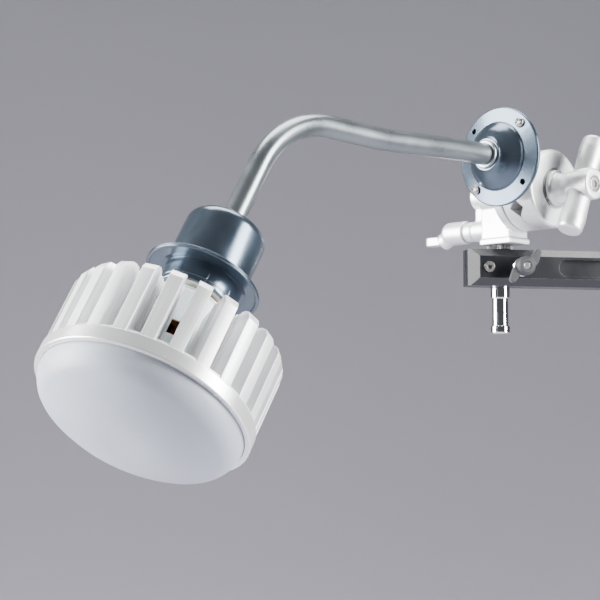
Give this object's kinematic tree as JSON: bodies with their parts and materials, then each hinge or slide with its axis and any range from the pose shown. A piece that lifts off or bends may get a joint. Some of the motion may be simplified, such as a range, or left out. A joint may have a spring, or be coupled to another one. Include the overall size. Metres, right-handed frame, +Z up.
{
  "type": "examination lamp",
  "caption": "Clamp-mounted gooseneck lamp: finned LED bulb on a bent flange arm, held by a jaw clamp on a side bar with a 16 mm stud.",
  "frame": {"origin": "middle of the 16 mm receiver bore at the far end of the side bar", "axes": "+Z up along the receiver bore; -X towards the lamp; -Y towards the T-handle of the jaw clamp"},
  "size_m": [0.6707, 0.2047, 0.3029],
  "materials": {
    "bar_black": "satin black anodised aluminium",
    "knob_black": "fine-textured black moulded nylon",
    "chrome": "polished chrome plate",
    "steel": "zinc-plated steel",
    "casting": "bead-blasted cast aluminium",
    "fibre": "dark friction fibre",
    "flange_paint": "blue-grey satin powder coat",
    "arm_paint": "silver-grey satin paint",
    "rubber": "matt seal rubber",
    "gasket": "cream silicone",
    "ceramic": "glazed ceramic",
    "brass": "plain brass",
    "fin_aluminium": "bright satin extruded aluminium",
    "bezel": "brushed and clear-anodised aluminium",
    "diffuser": "frosted opal polycarbonate",
    "case": "milky translucent polycarbonate",
    "board": "green solder resist",
    "led_white": "white solder resist on aluminium",
    "led_yellow": "yellow phosphor",
    "black_part": "moulded black",
    "wire_white": "white lead insulation"
  },
  "bodies": {
    "bar": {"bar_body": "bar_black", "spigot": "chrome", "knurled_ring": "bar_black", "retaining_screw": "steel"},
    "near_knob": {"near_wing_knob": "knob_black", "near_clamp_screw": "steel", "near_knob_washer": "chrome"},
    "far_knob": {"far_wing_knob": "knob_black", "far_clamp_screw": "steel", "far_knob_washer": "chrome"},
    "grip_head": {"head_casting": "casting", "friction_washer": "fibre"},
    "stud_lock": {"lock_handle": "casting", "lock_screw": "steel", "lock_collar": "casting"},
    "jaw": {"inner_jaw": "casting", "centre_bolt": "steel", "bolt_washer": "steel", "jaw_spring": "steel"},
    "clamp_jaw": {"outer_jaw": "casting", "thrust_washer": "steel"},
    "handle": {"t_handle": "casting", "handle_screw": "steel"},
    "arm": {"mount_pin": "steel", "back_plate": "steel", "flange": "flange_paint", "flange_gasket": "rubber", "flange_screws": "steel", "ferrule": "arm_paint", "flange_locknut": "steel", "arm_tube": "arm_paint", "supply_leads": "wire_white", "splice_block": "ceramic", "socket_housing": "flange_paint", "housing_locknut": "steel", "socket_body": "ceramic", "screw_shell": "brass", "socket_contact": "brass", "terminals": "brass", "lamp_collar": "flange_paint", "collar_gasket": "gasket"},
    "bulb": {"cap_shell": "brass", "cap_insulator": "black_part", "cap_contact": "steel", "driver_case": "case", "driver_board": "board", "driver_capacitor": "black_part", "driver_transformer": "gasket", "driver_parts": "black_part", "driver_leads": "wire_white", "heat_sink": "fin_aluminium", "led_board": "led_white", "led_chips": "led_yellow", "board_screws": "steel", "diffuser_dome": "diffuser", "bezel_ring": "bezel", "dome_seal": "gasket"}
  },
  "joints": [
    {"name": "head_swivel", "type": "hinge", "parent": "bar", "child": "grip_head", "pos_m": [-0.14094, 0.09506, 0], "axis": [0, 0, 1], "range_deg": [-120, 105]},
    {"name": "stud_lock_turn", "type": "hinge", "parent": "grip_head", "child": "stud_lock", "pos_m": [-0.14094, 0.13506, 0.0325], "axis": [0, 1, 0], "range_deg": [-90, 180]},
    {"name": "jaw_tilt", "type": "hinge", "parent": "grip_head", "child": "jaw", "pos_m": [-0.14094, 0.05506, 0.0605], "axis": [0, -1, 0], "range_deg": [-80, 25]},
    {"name": "handle_turn", "type": "hinge", "parent": "clamp_jaw", "child": "handle", "pos_m": [-0.14094, 0.05506, 0.0605], "axis": [0, -1, 0], "range_deg": [-720, 0]},
    {"name": "jaw_open", "type": "slide", "parent": "jaw", "child": "clamp_jaw", "axis": [0, -1, 0], "range_m": [0, 0.0033]},
    {"name": "arm_roll", "type": "hinge", "parent": "jaw", "child": "arm", "pos_m": [-0.18714, 0.05506, 0.083], "axis": [-1, 0, 0], "continuous": true},
    {"name": "bulb_turn", "type": "hinge", "parent": "arm", "child": "bulb", "pos_m": [-0.51795, 0.04967, -0.04045], "axis": [-0.5548, -0.0363, -0.8312], "range_deg": [0, 360]},
    {"name": "near_knob_turn", "type": "hinge", "parent": "bar", "child": "near_knob", "pos_m": [-0.14051, 0.07065, 0], "axis": [-0.5592, -0.829, 0], "continuous": true},
    {"name": "far_knob_turn", "type": "hinge", "parent": "bar", "child": "far_knob", "pos_m": [-0.02279, -0.00875, 0], "axis": [-0.5592, -0.829, 0], "continuous": true}
  ],
  "couplings": [
    {"joint": "jaw_open", "follows": "handle_turn", "m_per_rad": -0.00025266}
  ]
}
